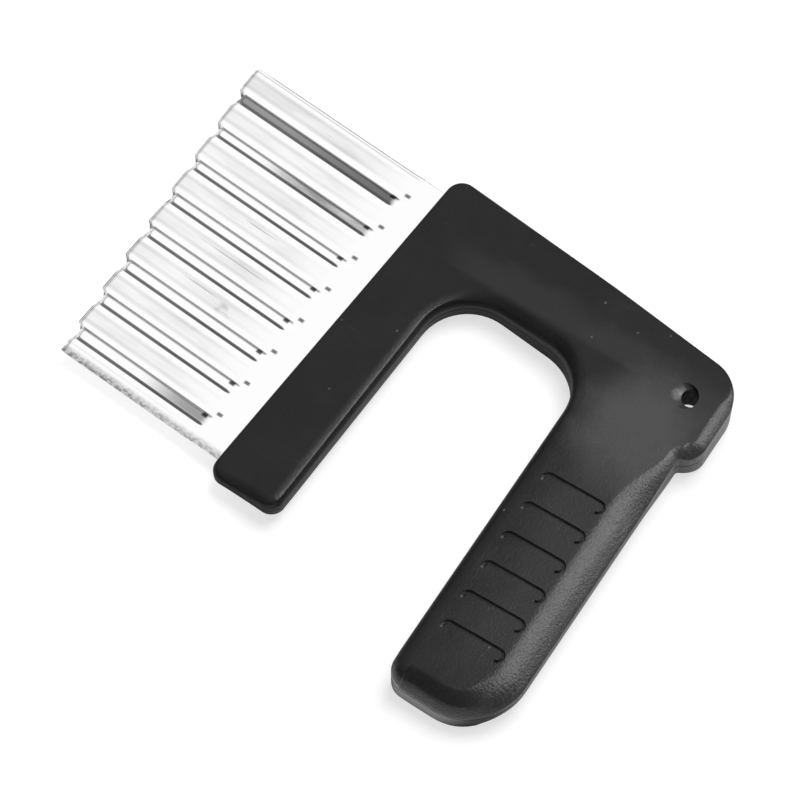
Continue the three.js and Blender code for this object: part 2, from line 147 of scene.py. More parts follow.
# Shader nodes
class Wire:
    """A socket of a node tree. Arithmetic on wires and numbers adds Math nodes."""

    def __init__(self, tree, socket=None):
        self.tree = tree
        self.socket = socket

    def node(self, kind, settings=None, links=None, output=0):
        """Adds a node, sets it up, fills its sockets and gives back one of its outputs."""
        made = self.tree.nodes.new(kind)
        for key, value in (settings or {}).items():
            if key == "stops":
                ramp = made.color_ramp.elements
                while len(ramp) < len(value):
                    ramp.new(0.5)
                for stop, (place, shade) in zip(ramp, value):
                    stop.position = place
                    stop.color = (shade, shade, shade, 1)
            else:
                setattr(made, key, value)
        for key, value in (links or {}).items():
            if isinstance(value, Wire):
                self.tree.links.new(value.socket, made.inputs[key])
            else:
                made.inputs[key].default_value = value
        return Wire(self.tree, made.outputs[output] if len(made.outputs) else None)

    def math(self, operation, *values):
        """Adds a Math node on wires or numbers."""
        return self.node("ShaderNodeMath", {"operation": operation}, dict(enumerate(values)))

    def __add__(self, other):
        return self.math("ADD", self, other)

    def __sub__(self, other):
        return self.math("SUBTRACT", self, other)

    def __rsub__(self, other):
        return self.math("SUBTRACT", other, self)

    def __mul__(self, other):
        return self.math("MULTIPLY", self, other)

    __radd__ = __add__
    __rmul__ = __mul__

    def size(self):
        """This wire without its sign."""
        return self.math("ABSOLUTE", self)

    def fraction(self):
        """This wire without its whole part."""
        return self.math("FRACT", self)

    def most(self, other):
        """The larger of this wire and another."""
        return self.math("MAXIMUM", self, other)

    def step(self, low, high):
        """0 below low, 1 above high, smooth between them."""
        return self.node("ShaderNodeMapRange", {"interpolation_type": "SMOOTHSTEP"},
                         {"Value": self, "From Min": low, "From Max": high})

    def fall(self, low, high):
        """1 below low, 0 above high, smooth between them."""
        return 1 - self.step(low, high)

    def near(self, middle, inner, outer):
        """1 closer to a middle than inner, 0 further off than outer, smooth between them."""
        return (self - middle).size().fall(inner, outer)

    def mix(self, low, high):
        """The colour low where this wire is 0, and high where it is 1."""
        return self.node("ShaderNodeMix", {"data_type": "RGBA"}, {0: self, 6: low, 7: high}, output=2)

    def axis(self, name):
        """One coordinate of this place: X, Y or Z."""
        return self.node("ShaderNodeSeparateXYZ", None, {"Vector": self}, output=name)

    def vector(self, operation, other=(0, 0, 0), output=0):
        """Adds a Vector Math node on this place and another."""
        return self.node("ShaderNodeVectorMath", {"operation": operation}, {0: self, 1: other}, output)

    def scaled(self, scale, turn=0.0):
        """This place turned about Z and scaled along each axis."""
        return self.node("ShaderNodeMapping", None,
                         {"Vector": self, "Rotation": (0, 0, turn), "Scale": scale})

    def noise(self, scale, detail, roughness=0.5):
        """Cloudy noise over this place."""
        return self.node("ShaderNodeTexNoise", None,
                         {"Vector": self, "Scale": scale, "Detail": detail, "Roughness": roughness})

    def cells(self, scale):
        """How far this place lies from the nearest of many scattered points."""
        return self.node("ShaderNodeTexVoronoi", None, {"Vector": self, "Scale": scale})

    def bump(self, strength, distance):
        """This wire as the height of a relief."""
        return self.node("ShaderNodeBump", None,
                         {"Strength": strength, "Distance": distance, "Height": self})


def new_material(name):
    """An empty node material, its start wire, and the place on the piece in metres."""
    material = bpy.data.materials.new(name)
    material.use_nodes = True
    material.node_tree.nodes.clear()
    start = Wire(material.node_tree)
    return material, start, start.node("ShaderNodeTexCoord", output="Object")


def rays(start):
    """Two wires: 1 where the camera looks straight at this, and 1 where a gloss shows it."""
    return [start.node("ShaderNodeLightPath", output=name) for name in ("Is Camera Ray", "Is Glossy Ray")]


def surface(start, links):
    """Ends a material in a Principled surface with these sockets."""
    shader = start.node("ShaderNodeBsdfPrincipled", None, links)
    start.node("ShaderNodeOutputMaterial", None, {"Surface": shader})


def rgba(colour, gain=1.0):
    """A colour made lighter by a gain, with its alpha."""
    return (*[min(1.0, part * gain) for part in colour], 1.0)


WEAR_AND_SHEEN_SPOT = (0.0025, 0.0415, 0.0136)  # in metres, on the face where the grip meets the lobe, middle of rubbed wear with painted sheen
SPECK_SCUFF_AND_GLINT_GREY = (0.32, 0.32, 0.31, 1)
HOOK_GLINT = (0.0001, 0.0004)  # in metres, over which a painted glint at a mark's hook ends


def moulded_plastic(colour, sizes, plan):
    """Black plastic with a fine mould grain, rubbed places with painted sheen, painted highlights on the
    palm's facet and in the countersink, a few pale specks, painted glints at the mark hooks and faint
    scuffs.
    """
    material, start, place = new_material("moulded_plastic")
    x, y = place.axis("X"), place.axis("Y")
    grain, cloud = place.noise(1700, 3, 0.6), place.noise(95, 4, 0.55)
    patch, hair = place.noise(230, 2), place.scaled((260, 2600, 300), 0.5).noise(1, 1)
    drift = 0.012 * (cloud - 0.5)

    # Places lightened: the grip and the bridge's outer strip, rubbed by the hand and given painted sheen;
    # the palm's facet with a painted highlight; and two spots, one rubbed with painted sheen and one a
    # painted highlight in the countersink
    wear_and_sheen = (x + drift).step(-0.010, 0.001) * y.step(-0.037, -0.010) * y.fall(0.056, 0.063)
    outer_strip = y.step(0.0525, 0.0545) * (y + drift).fall(0.057, 0.063) * x.step(-0.062, -0.045)
    wear_and_sheen = wear_and_sheen.most(0.8 * outer_strip)
    # The palm's facet: its colour is lightened below as a painted highlight, and its grain made stronger
    facet = (x + 0.3 * drift).step(0.0070, 0.0088) * y.step(-0.035, -0.028) * y.fall(0.041, 0.045)
    facet = facet.most(x.step(0.0142, 0.0155))
    palm = facet * (0.55 + 0.45 * y.step(-0.020, 0.030)) * (0.55 + 0.45 * patch.step(0.38, 0.62))
    spot_wear_and_sheen = (place.vector("DISTANCE", WEAR_AND_SHEEN_SPOT, "Value") + drift).fall(0.006, 0.018)
    from_sink = place.vector("DISTANCE", sink_highlight_spot(sizes, plan), "Value")
    sink_highlight = (from_sink + 0.05 * drift).fall(0.0010, 0.0016)

    # Specks, scuffs, and a painted glint at each grip mark's hook
    speck = place.cells(210).fall(0.03, 0.09) * cloud.step(0.50, 0.60)
    scuff = hair.step(0.66, 0.74) * cloud.step(0.5, 0.62)
    hook, pitch = mark_hook(sizes), sizes.mark_pitch
    half_row = sizes.mark_count * pitch / 2
    from_hook = (((y - hook.y) * (1 / pitch) + 0.5).fraction() - 0.5) * pitch
    hook_glint = from_hook.size().fall(*HOOK_GLINT) * x.near(hook.x, *HOOK_GLINT)
    hook_glint = hook_glint * y.near(hook.y - half_row + pitch / 2, half_row, half_row + MM)

    tone = cloud.step(0.3, 0.75).mix(rgba(colour, 0.85), rgba(colour, 1.2))
    # Painted sheen, with the wear, on the grip and the bridge's outer strip
    tone = wear_and_sheen.mix(tone, rgba(colour, 2.7))
    # Painted highlight on the palm's facet
    tone = (palm * grain.step(0.3, 0.7)).mix(tone, rgba(colour, 7.6))
    # Painted sheen, with the wear, round the spot where the grip meets the lobe
    tone = (spot_wear_and_sheen * (0.8 + 0.4 * grain)).mix(tone, rgba(colour, 7.0))
    # Painted highlight on the countersink's wide slope
    tone = (sink_highlight * grain.step(0.2, 0.6)).mix(tone, rgba(colour, 13.0))
    # Pale specks, painted glints at the mark hooks and faint scuffs
    base = (speck * 0.35 + hook_glint * 0.25 + scuff * 0.03).mix(tone, SPECK_SCUFF_AND_GLINT_GREY)
    gripped = y.fall(0.032, 0.046) * x.step(-0.016, -0.013)
    relief = grain * (0.45 + 0.55 * facet.most(0.8 * gripped))
    surface(start, {"Base Color": base, "Roughness": 0.22 + 0.10 * grain + 0.06 * cloud,
                    "Normal": relief.bump(1.0, 0.00016), "Specular IOR Level": 0.22})
    return material


# Marks on the blade, in millimetres. A scratch: across from the near side, and from and to behind the edge.
# A press mark: across from a ridge's middle, and along from the spine, negative towards the edge.
SCRATCHES = [(31.8, 17.5, 28.9), (41.5, 10.5, 31.8), (50.9, 12.7, 24.2)]
DASH_ACROSS, DASH_ALONG = 2.85, -6.6
END_ACROSS, END_ALONG = 0.8, -9.1
RIM_LINES = (0.7, 0.12)  # two fine lines along the near side, from its edge
WHOLE_WAVES = 20  # added so that a wave's count is never negative


def rolled_steel(colour, plan):
    """Bright steel: rolling lines along the ridges, dull trough floors, scratches, dents, painted dark
    reflections on three ridges and painted dark lines along the flanks.
    """
    material, start, place = new_material("rolled_steel")
    along = place.scaled((1, 1, 1), plan.turn)
    u, v = along.axis("X") * (1 / MM), along.axis("Y") * (1 / MM)
    lines, cloud = along.scaled((40, 2400, 0)).noise(1, 3), along.scaled((90, 90, 0)).noise(1, 4)
    streak, hair = along.scaled((70, 300, 0)).noise(1, 3), along.scaled((110, 3000, 0)).noise(1, 1)
    speckle, dents = along.scaled((900, 1500, 0)).noise(1, 2), along.scaled((80, 130, 0)).cells(1)
    flank, ground = [start.node("ShaderNodeAttribute", {"attribute_name": name}, output="Fac")
                     for name in ("flank", "ground")]

    # Places on the sheet, in millimetres: from the spine, the edge, a side, and across a wave
    from_spine = u - plan.spine_at(0) - v * plan.slant
    from_edge = u - plan.edge_at(0)
    from_top, from_low = plan.top - v, v - plan.low
    wave = ((v - plan.ridge_at(0)) * (1 / plan.pitch) + WHOLE_WAVES).fraction()
    across = wave * plan.pitch
    from_ridge = (0.5 - (wave - 0.5).size()) * plan.pitch
    far = from_edge.step(2, 40)
    floor = from_ridge.step(2.5, 3.4) * (1 - 0.85 * from_spine.step(-24, -9)) * from_spine.fall(-10, -8)
    floor = floor * from_low.step(2.0, 2.6)

    # Scratches and dents in the troughs, and the press marks beside the ridge ends
    scar = hair.step(0.62, 0.70) * floor * cloud.step(0.44, 0.54) * from_edge.near(22, 6, 14)
    scratches = []
    for middle, begin, stop in SCRATCHES:
        stroke = u - plan.edge_at(plan.top - middle)
        stroke = stroke.step(begin, begin + 4) * stroke.fall(stop - 5, stop) * streak.step(0.25, 0.5)
        scratches.append(stroke * from_top.near(middle, 0.08, 0.22))
    dent = dents.fall(0.16, 0.26) * dents.step(0.04, 0.14) * cloud.step(0.54, 0.6) * floor
    dash = across.near(DASH_ACROSS, 0.25, 0.6) * from_spine.near(DASH_ALONG, 0.4, 1.0)
    dash = dash * from_low.step(5, 6)
    end = across.near(END_ACROSS, 0.35, 0.8) * from_spine.near(END_ALONG, 0.4, 0.95)

    # Painted dark lines along the flanks, painted dark reflections on the first two ridges and the last one,
    # the torn free side with painted shade, and the near rim
    # Painted dark line along each ridge's lower flank
    lower = (0 - flank).step(0.62, 0.74)
    first, second, last = [v.near(plan.ridge_at(i), 0.8, 1.4) for i in (0, 1, plan.waves - 1)]
    # Painted dark reflections on the first two ridges and the last one
    dark_reflection = first * (0.72 + 0.18 * far + 0.1 * streak)
    dark_reflection = dark_reflection.most(second * far.step(0.08, 0.45) * (0.36 + 0.4 * streak.step(0.35, 0.65)))
    dark_reflection = dark_reflection.most(last * 0.74 * far.step(0.4, 0.95))
    dark_reflection = dark_reflection * from_spine.fall(-9.2, -7.4) * (1 - 0.75 * lower)
    # Painted dark line along each ridge's upper flank
    upper = flank.step(0.55, 0.7) * (1 - 0.7 * dark_reflection)
    # Torn speckled strip along the free side, darkened partly as painted shade
    torn_and_shade = from_low.fall(0.2, 2.0) * (0.6 + 0.4 * speckle.step(0.42, 0.58))
    torn_and_shade = torn_and_shade * (1 - 0.2 * far.step(0.3, 0.95))
    rim_one, rim_two = [(from_top - line).size().step(0.05, 0.2) for line in RIM_LINES]
    rim = (1 - rim_one * rim_two) * from_spine.fall(-8, -6)

    beside = from_ridge.near(3.3, 0.2, 0.9)
    dull = 0.04 + 0.11 * streak.step(0.3, 0.7) + 0.1 * beside + 0.05 * (v - plan.ridge_at(0)).step(1, 3)
    tone = 1 - floor * dull - 0.12 * scar - 0.34 * sum(scratches) - 0.22 * dent
    # Darkens the painted flank lines and reflections, the dashes and ends, the torn strip with its painted
    # shade, and the rim lines
    for share, depth in ((upper, 0.53), (dash, 0.8), (end, 0.9), (dark_reflection, 0.88), (torn_and_shade, 0.72), (rim, 0.3)):
        tone = tone * (1 - depth * share)
    # More painted shade on the lower flanks, away from the edge
    tone = tone * (1 - 0.3 * lower * far.step(0.2, 0.6))
    # Painted shade on the ground facets at the troughs' ends
    tone = tone * (1 - ground * from_ridge.step(1.4, 2.4) * 0.08 * cloud)
    rough = 0.09 + 0.06 * lines + 0.10 * floor + 0.12 * ground + 0.1 * dark_reflection + 0.25 * torn_and_shade
    surface(start, {"Base Color": tone.mix((0, 0, 0, 1), rgba(colour)), "Metallic": 1.0,
                    "Roughness": rough, "Normal": (lines - 0.6 * dent).bump(0.05, 0.00004)})
    return material


def drawn_steel(colour):
    """Plain drawn steel of the pins, with fine rings of the drawing."""
    material, start, place = new_material("drawn_steel")
    rings = place.scaled((300, 300, 5000)).noise(1, 2)
    surface(start, {"Base Color": rgba(colour), "Metallic": 1.0, "Roughness": 0.22 + 0.2 * rings})
    return material


def pale_floor(colour):
    """A matte pale floor that the camera sees as white, with the object's shadow kept, lifted by painted
    light beside the blade, and patches that glow only in reflections.
    """
    material, start, place = new_material("pale_floor")
    seen, glossy = rays(start)
    x, y = place.axis("X"), place.axis("Y")
    # Patches beside the palm, the butt and the edge glow in reflections only: painted light for the walls
    # that face them
    by_palm, by_butt, by_edge = x.step(0.0135, 0.0150), y.fall(-0.037, -0.034), x.fall(-0.119, -0.115)
    glow_in_reflections = 0.08 + (0.4 * by_palm + 1.1 * by_butt + 0.5 * by_edge)
    # White for the camera, with painted light that lifts the shadow beside the blade
    white_and_shadow_lift = 0.66 + 0.19 * x.fall(-0.090, -0.050)
    surface(start, {"Base Color": rgba(colour), "Roughness": 0.9, "Specular IOR Level": 0.0,
                    "Emission Color": white_and_shadow_lift * seen + glossy * glow_in_reflections, "Emission Strength": 1.0})
    return material


# Modelling by hand
def mode(name):
    """Enters edit mode or object mode."""
    bpy.ops.object.mode_set(mode=name)


def deselect_all():
    """Leaves edit mode and deselects every object."""
    if bpy.context.object and bpy.context.object.mode != "OBJECT":
        mode("OBJECT")
    bpy.ops.object.select_all(action="DESELECT")


def take(piece):
    """Selects one piece alone and makes it active."""
    deselect_all()
    piece.select_set(True)
    bpy.context.view_layer.objects.active = piece


def add_piece(name, add, **options):
    """Adds a primitive, names it and opens it for editing."""
    deselect_all()
    add(**options)
    piece = bpy.context.object
    piece.name = name
    piece.data.name = name
    mode("EDIT")
    return piece


def settle():
    """Takes the active piece's place, turn and scale into its mesh."""
    bpy.ops.object.transform_apply(location=True, rotation=True, scale=True)


def copy_piece(piece, move):
    """A copy of a piece with its own mesh, moved."""
    take(piece)
    bpy.ops.object.duplicate()
    copy = bpy.context.object
    copy.location = move
    settle()
    return copy


def pick_all():
    """Selects the whole mesh in edit mode."""
    bpy.ops.mesh.select_all(action="SELECT")


def pick(piece, kind, test):
    """Selects the vertices, edges or faces in edit mode that pass a test."""
    bpy.ops.mesh.select_mode(type=kind)
    bpy.ops.mesh.select_all(action="DESELECT")
    mesh = bmesh.from_edit_mesh(piece.data)
    mesh.normal_update()
    for part in {"VERT": mesh.verts, "EDGE": mesh.edges, "FACE": mesh.faces}[kind]:
        if test(part):
            part.select_set(True)
    mesh.select_flush_mode()
    bmesh.update_edit_mesh(piece.data)


def shift(x, y, z):
    """Moves what is selected."""
    bpy.ops.transform.translate(value=(x, y, z))


def stretch(x, y, z, middle=(0, 0, 0)):
    """Scales what is selected about a middle."""
    bpy.ops.transform.resize(value=(x, y, z), center_override=middle)


def extrude_up(height):
    """Extrudes the selected faces upwards."""
    bpy.ops.mesh.extrude_region_move(TRANSFORM_OT_translate={"value": (0, 0, height)})


def bevel(offset, affect, segments):
    """Bevels the selected VERTICES or EDGES."""
    bpy.ops.mesh.bevel(offset=offset, offset_type="OFFSET", affect=affect, segments=segments,
                       profile=0.5, clamp_overlap=False)


def bisect(point, normal, **options):
    """Cuts the whole mesh in edit mode along a plane."""
    pick_all()
    bpy.ops.mesh.bisect(plane_co=point, plane_no=normal, threshold=FINE, **options)


def face_outwards():
    """Turns all faces of the mesh in edit mode outwards."""
    pick_all()
    bpy.ops.mesh.normals_make_consistent(inside=False)


def modify(piece, kind, **settings):
    """Adds a modifier to a piece in object mode and applies it."""
    bpy.context.view_layer.objects.active = piece
    modifier = piece.modifiers.new(kind.lower(), kind)
    for key, value in settings.items():
        setattr(modifier, key, value)
    bpy.ops.object.modifier_apply(modifier=modifier.name)


def cut(piece, *cutters):
    """Takes the cutters' solids out of a piece and deletes them."""
    for cutter in cutters:
        modify(piece, "BOOLEAN", operation="DIFFERENCE", solver="EXACT", object=cutter)
    deselect_all()
    for cutter in cutters:
        cutter.select_set(True)
    bpy.ops.object.delete()


def close_cutter():
    """Turns the faces of the solid being edited outwards and leaves edit mode."""
    face_outwards()
    mode("OBJECT")


def join(pieces):
    """Joins pieces into the first one."""
    take(pieces[0])
    for piece in pieces:
        piece.select_set(True)
    bpy.ops.object.join()
    return pieces[0]


NORMAL_WEIGHT = 60  # over 50, so that large faces turn the shading more than small ones


def finish_piece(piece, node, material, smooth_angle):
    """Merges doubles, brings a piece to metres, dresses it and lets it stand for its CAD node."""
    take(piece)
    settle()
    mode("EDIT")
    pick_all()
    bpy.ops.mesh.remove_doubles(threshold=NEAR)
    close_cutter()
    piece.scale = (MM, MM, MM)
    settle()
    bpy.ops.object.shade_smooth_by_angle(angle=radians(smooth_angle))
    modify(piece, "WEIGHTED_NORMAL", keep_sharp=True, weight=NORMAL_WEIGHT)
    piece.data.materials.clear()
    piece.data.materials.append(material)
    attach(piece, "root")
    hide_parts(node)


def smooth_step(value, low, high):
    """0 below low, 1 above high, smooth between them."""
    share = min(1.0, max(0.0, (value - low) / (high - low)))
    return share * share * (3 - 2 * share)


def blend(low, high, share):
    """A number part of the way from low to high."""
    return low + (high - low) * share


# The handle's plan, in millimetres
class Line:
    """A straight line in plan through a point at an angle."""

    def __init__(self, x, y, angle):
        self.x, self.y = x, y
        self.dx, self.dy = cos(angle), sin(angle)

    def crossing(self, other):
        """Where this line meets another."""
        turn = self.dx * other.dy - self.dy * other.dx
        along = ((other.x - self.x) * other.dy - (other.y - self.y) * other.dx) / turn
        return Vector((self.x + along * self.dx, self.y + along * self.dy))


class HandlePlan:
    """Lines and corners of the handle's outline, worked out from its sizes."""

    SPINE_END_GAP_R, SPINE_END_BLADE_R, SPINE_TOP_R = 3.6, 3.0, 4.0
    ARCH_GRIP_R, ARCH_SPINE_R = 12.0, 13.0
    BUTT_GAP_R, BUTT_PALM_R = 4.2, 15.0
    LOBE_FOOT_R, LOBE_FOOT_SLOPE, NOTCH_R = 5.4, radians(22.6), 1.0

    def __init__(self, sizes):
        quarter = radians(90)
        self.palm = sizes.grip_width / MM / 2
        self.gap = sizes.gap_width / MM
        self.spine = sizes.spine_width / MM
        self.half = sizes.grip_thickness / MM / 2
        self.spine_half = sizes.spine_thickness / MM / 2
        self.butt = -sizes.butt_drop / MM
        self.notch = sizes.notch_rise / MM
        self.lobe_r = sizes.lobe_radius / MM
        step = sizes.lobe_step / MM
        self.lobe = self.palm + step
        self.foot = self.notch + step * tan(self.LOBE_FOOT_SLOPE)
        arch = sizes.arch_rise / MM
        top = arch + sizes.bridge_depth / MM
        self.gap_side = Line(-self.palm - self.gap, 0, quarter - sizes.gap_lean)
        self.blade_side = Line(-self.palm - self.gap - self.spine, 0, quarter - sizes.spine_lean)
        self.arch = Line(-self.palm, arch, -sizes.arch_lean)
        self.outer = Line(-self.palm, top, -sizes.bridge_lean)
        self.spine_end = Line(0, -sizes.spine_drop / MM, 0)
        self.grip_gap = Line(-self.palm, 0, quarter)
        self.lobe_side = Line(self.lobe, 0, quarter)

    def corners(self):
        """Corner points with the radius of their rounding, counter-clockwise."""
        return [
            (self.blade_side.crossing(self.spine_end), self.SPINE_END_BLADE_R),
            (self.spine_end.crossing(self.gap_side), self.SPINE_END_GAP_R),
            (self.gap_side.crossing(self.arch), self.ARCH_SPINE_R),
            (self.arch.crossing(self.grip_gap), self.ARCH_GRIP_R),
            (Vector((-self.palm, self.butt)), self.BUTT_GAP_R),
            (Vector((self.palm, self.butt)), self.BUTT_PALM_R),
            (Vector((self.palm, self.notch)), self.NOTCH_R),
            (Vector((self.lobe, self.foot)), self.LOBE_FOOT_R),
            (self.lobe_side.crossing(self.outer), self.lobe_r),
            (self.outer.crossing(self.blade_side), self.SPINE_TOP_R),
        ]

    def opening(self, i):
        """The directions back and ahead along the sides that meet in corner i."""
        corners = [corner for corner, _ in self.corners()]
        ahead = corners[(i + 1) % len(corners)] - corners[i]
        return (corners[i - 1] - corners[i]).normalized(), ahead.normalized()

    def tangent(self, i):
        """From corner i to where its rounding starts."""
        back, ahead = self.opening(i)
        return self.corners()[i][1] / tan(back.angle(ahead) / 2)

    def convex(self, i):
        """Whether the outline turns outwards round corner i."""
        back, ahead = self.opening(i)
        return back.cross(ahead) < 0

    def lobe_middle(self):
        """Middle of the lobe's rounding."""
        turn = atan2(self.outer.dy, self.outer.dx)
        inner = Line(self.outer.x, self.outer.y - self.lobe_r / self.outer.dx, turn)
        return Line(self.lobe - self.lobe_r, 0, radians(90)).crossing(inner)


# Rims of the sides in the order of the corners, in millimetres: how far the upper half's rim reaches in
# and down, the same for the lower half, and its kind
RIMS = [
    ("spine end", 2.9, 2.4, 2.2, 1.8, "chamfer"),
    ("spine, gap side", 2.9, 2.83, 1.3, 1.27, "soft"),
    ("arch", 3.6, 3.4, 1.6, 1.4, "chamfer"),
    ("grip, gap side", 3.6, 3.0, 3.6, 3.0, "round"),
    ("butt", 5.0, 6.4, 0.9, 0.9, "shoulder"),
    ("palm", 7.2, 5.0, 7.2, 5.0, "facet"),
    ("lobe's foot", 2.2, 3.2, 1.4, 1.3, "chamfer"),
    ("lobe", 3.0, 2.1, 1.8, 1.5, "facet"),
    ("bridge, outer side", 0.9, 0.9, 0.9, 0.9, "round"),
    ("spine, blade side", 0.8, 0.7, 0.8, 0.7, "round"),
]
RIM_BLEND = 7.0  # along the outline, over which a rim turns into the next
SEAM_RIM = 0.1  # rim of the seam between the halves
NOTCH_RIM = (2.4, 2.2)  # reach and drop of the rim at the notch
NOTCH_BELOW, NOTCH_ABOVE = 17, 4  # from the notch to where the rim is whole again
LOBE_FADE = (1.5, 5.5)  # past the lobe's middle, over which its facet fades
FADED_RIM = 0.9  # reach and drop of the rim past that
CORNER_SHARE = 0.9  # how much of a corner's rounding a rim may take up
TAPER_BLEND = 10.0  # over which the level grip turns into the tapering plate
TAPER_CUTS = 8  # strips that the faces are cut into there
RIM_ROWS = 12
WALL_ROWS = 2  # the seam's rim and the wall's foot, below the rim


def rim_rows(runs):
    """Shares of a rim's reach and drop from the wall up to the face, from its runs and slopes in degrees."""
    rows, inset, fall = [(0.0, 0.0)], 0.0, 0.0
    for run, slope in runs:
        inset, fall = inset + run, fall + run * tan(radians(slope))
        rows.append((inset, fall))
    return [(1 - part / inset, drop / fall) for part, drop in reversed(rows)]


# Kinds of rim: runs and slopes from the face outwards to the wall
ROUND_SLOPES = [90 * (i + 0.5) / RIM_ROWS for i in range(RIM_ROWS)]
KINDS = {
    "round": rim_rows([(cos(radians(slope)), slope) for slope in ROUND_SLOPES]),
    "facet": rim_rows([(55, 6), (55, 14), (60, 20), (60, 24), (60, 28), (60, 31), (55, 39), (55, 43),
                       (55, 45), (50, 47), (35, 54), (10, 75)]),
    "shoulder": rim_rows([(25, 15), (25, 34), (65, 46), (65, 48), (60, 49), (45, 50), (25, 57), (30, 65),
                          (35, 70), (35, 72), (25, 75), (10, 80)]),
    "soft": rim_rows([(10, 5), (10, 10), (12, 14), (14, 18), (6, 21), (3, 32), (4, 48), (6, 57),
                      (6, 63), (5, 69), (3, 76), (2, 82)]),
    "chamfer": rim_rows([(8, 10), (8, 22), (9, 33), (11, 41), (11, 44), (11, 45), (11, 46), (10, 48),
                         (8, 52), (6, 58), (4, 68), (3, 80)]),
}

FAR_OUT = 2000  # where the outline's points go first, so that no side crosses another on the way
CORNER_SEGMENTS = 16
LONG_SIDE, SIDE_CUTS = 5, 30  # sides longer than this are cut this often


def handle_outline(plan, name):
    """A flat face with the handle's outline: a filled circle whose points are drawn out to the corners."""
    corners = plan.corners()
    piece = add_piece(name, bpy.ops.mesh.primitive_circle_add, vertices=len(corners), fill_type="NGON")
    mesh = bmesh.from_edit_mesh(piece.data)
    starts = [vert.co.copy() for vert in sorted(mesh.verts, key=lambda v: -atan2(v.co.x, v.co.y))]
    far = [FAR_OUT * start.normalized() for start in starts]
    for moves in (zip(starts, far), zip(far, [Vector((*corner, 0)) for corner, _ in corners])):
        for old, new in moves:
            pick(piece, "VERT", lambda vert: (vert.co - old).length < NEAR)
            shift(*(new - old))
    for i, (corner, _) in enumerate(corners):
        pick(piece, "VERT", lambda vert: (vert.co.xy - corner).length < NEAR)
        bevel(plan.tangent(i), "VERTICES", CORNER_SEGMENTS)
    pick(piece, "EDGE", lambda edge: edge.calc_length() > LONG_SIDE)
    bpy.ops.mesh.subdivide(number_cuts=SIDE_CUTS)
    return piece


def nearest_side(point, sides):
    """Which side of the outline a point lies nearest to."""
    def away(i):
        share = intersect_point_line(point, *sides[i])[1]
        return (sides[i][0].lerp(sides[i][1], min(1, max(0, share))) - point).length
    return min(range(len(sides)), key=away)


def blended_rim(rims, gaps, i):
    """The rim at point i as a mean of the rims along the outline near it."""
    total, sums = 0.0, [0.0] * len(rims[0])
    for way in (1, -1):
        j, far = i, 0.0
        while far < RIM_BLEND:
            share = (1 - (far / RIM_BLEND) ** 2) * (gaps[j] + gaps[j - 1])
            total += share
            sums = [part + share * value for part, value in zip(sums, rims[j])]
            far += gaps[j] if way > 0 else gaps[j - 1]
            j = (j + way) % len(gaps)
    return [part / total for part in sums]


def fitted_rim(plan, point, reach, drop):
    """A rim's reach and drop where the notch, the lobe's end or a tight corner leaves it less room."""
    if point.x > 0 and point.y < plan.foot:
        from_notch = (point - Vector((plan.palm, plan.notch))).length
        share = smooth_step(from_notch, 0, NOTCH_BELOW if point.y < plan.notch else NOTCH_ABOVE)
        reach, drop = blend(NOTCH_RIM[0], reach, share), blend(NOTCH_RIM[1], drop, share)
    if point.x > 0 and point.y > plan.foot + plan.LOBE_FOOT_R:
        share = smooth_step(point.y - plan.lobe_middle().y, *LOBE_FADE)
        reach, drop = blend(reach, FADED_RIM, share), blend(drop, FADED_RIM, share)
    for i, (corner, radius) in enumerate(plan.corners()):
        if plan.convex(i) and (point - corner).length < plan.tangent(i):
            drop *= min(1, CORNER_SHARE * radius / reach)
            reach = min(reach, CORNER_SHARE * radius)
    return reach, drop


def rim_along(plan, points, under):
    """The rim at each point of the outline: its reach, its drop and its share of each kind."""
    corners = [corner for corner, _ in plan.corners()]
    sides = list(zip(corners, [*corners[1:], corners[0]]))
    rims = []
    for point in points:
        _, reach, drop, under_reach, under_drop, side_kind = RIMS[nearest_side(point, sides)]
        kinds = [1.0 if side_kind == kind else 0.0 for kind in KINDS]
        rims.append([under_reach, under_drop, *kinds] if under else [reach, drop, *kinds])
    gaps = [(after - point).length for point, after in zip(points, [*points[1:], points[0]])]
    fitted = []
    for i, point in enumerate(points):
        reach, drop, *kinds = blended_rim(rims, gaps, i)
        fitted.append((*fitted_rim(plan, point, reach, drop), kinds))
    return fitted


def top_at(plan, x):
    """Height of the half's face over its middle plane: level at the grip, falling towards the blade."""
    slope = (plan.half - plan.spine_half) / (plan.gap + plan.spine - TAPER_BLEND / 2)
    away = max(0.0, -plan.palm - x)
    if away < TAPER_BLEND:
        return plan.half - slope * away * away / (2 * TAPER_BLEND)
    return plan.half - slope * (away - TAPER_BLEND / 2)


def inward_at(points, i):
    """From point i of the outline into the handle, so far that both its sides move in by one."""
    before = (points[i] - points[i - 1]).normalized()
    after = (points[(i + 1) % len(points)] - points[i]).normalized()
    return Vector((-before.y - after.y, before.x + after.x)) / (1 + before.dot(after))


def rim_place(plan, point, inward, rim, row):
    """Where a point of the outline goes on a row: the seam's rim, the wall's foot, or a row of the rim."""
    if row == 0:
        return (*(point + inward * SEAM_RIM), SEAM / 2)
    if row < WALL_ROWS:
        return (*point, SEAM / 2 + SEAM_RIM)
    reach, drop, kinds = rim
    rows = [kind[row - WALL_ROWS] for kind in KINDS.values()]
    place = point + inward * reach * sum(share * inset for share, (inset, _) in zip(kinds, rows))
    down = drop * sum(share * fall for share, (_, fall) in zip(kinds, rows))
    return (*place, top_at(plan, place.x) - down)


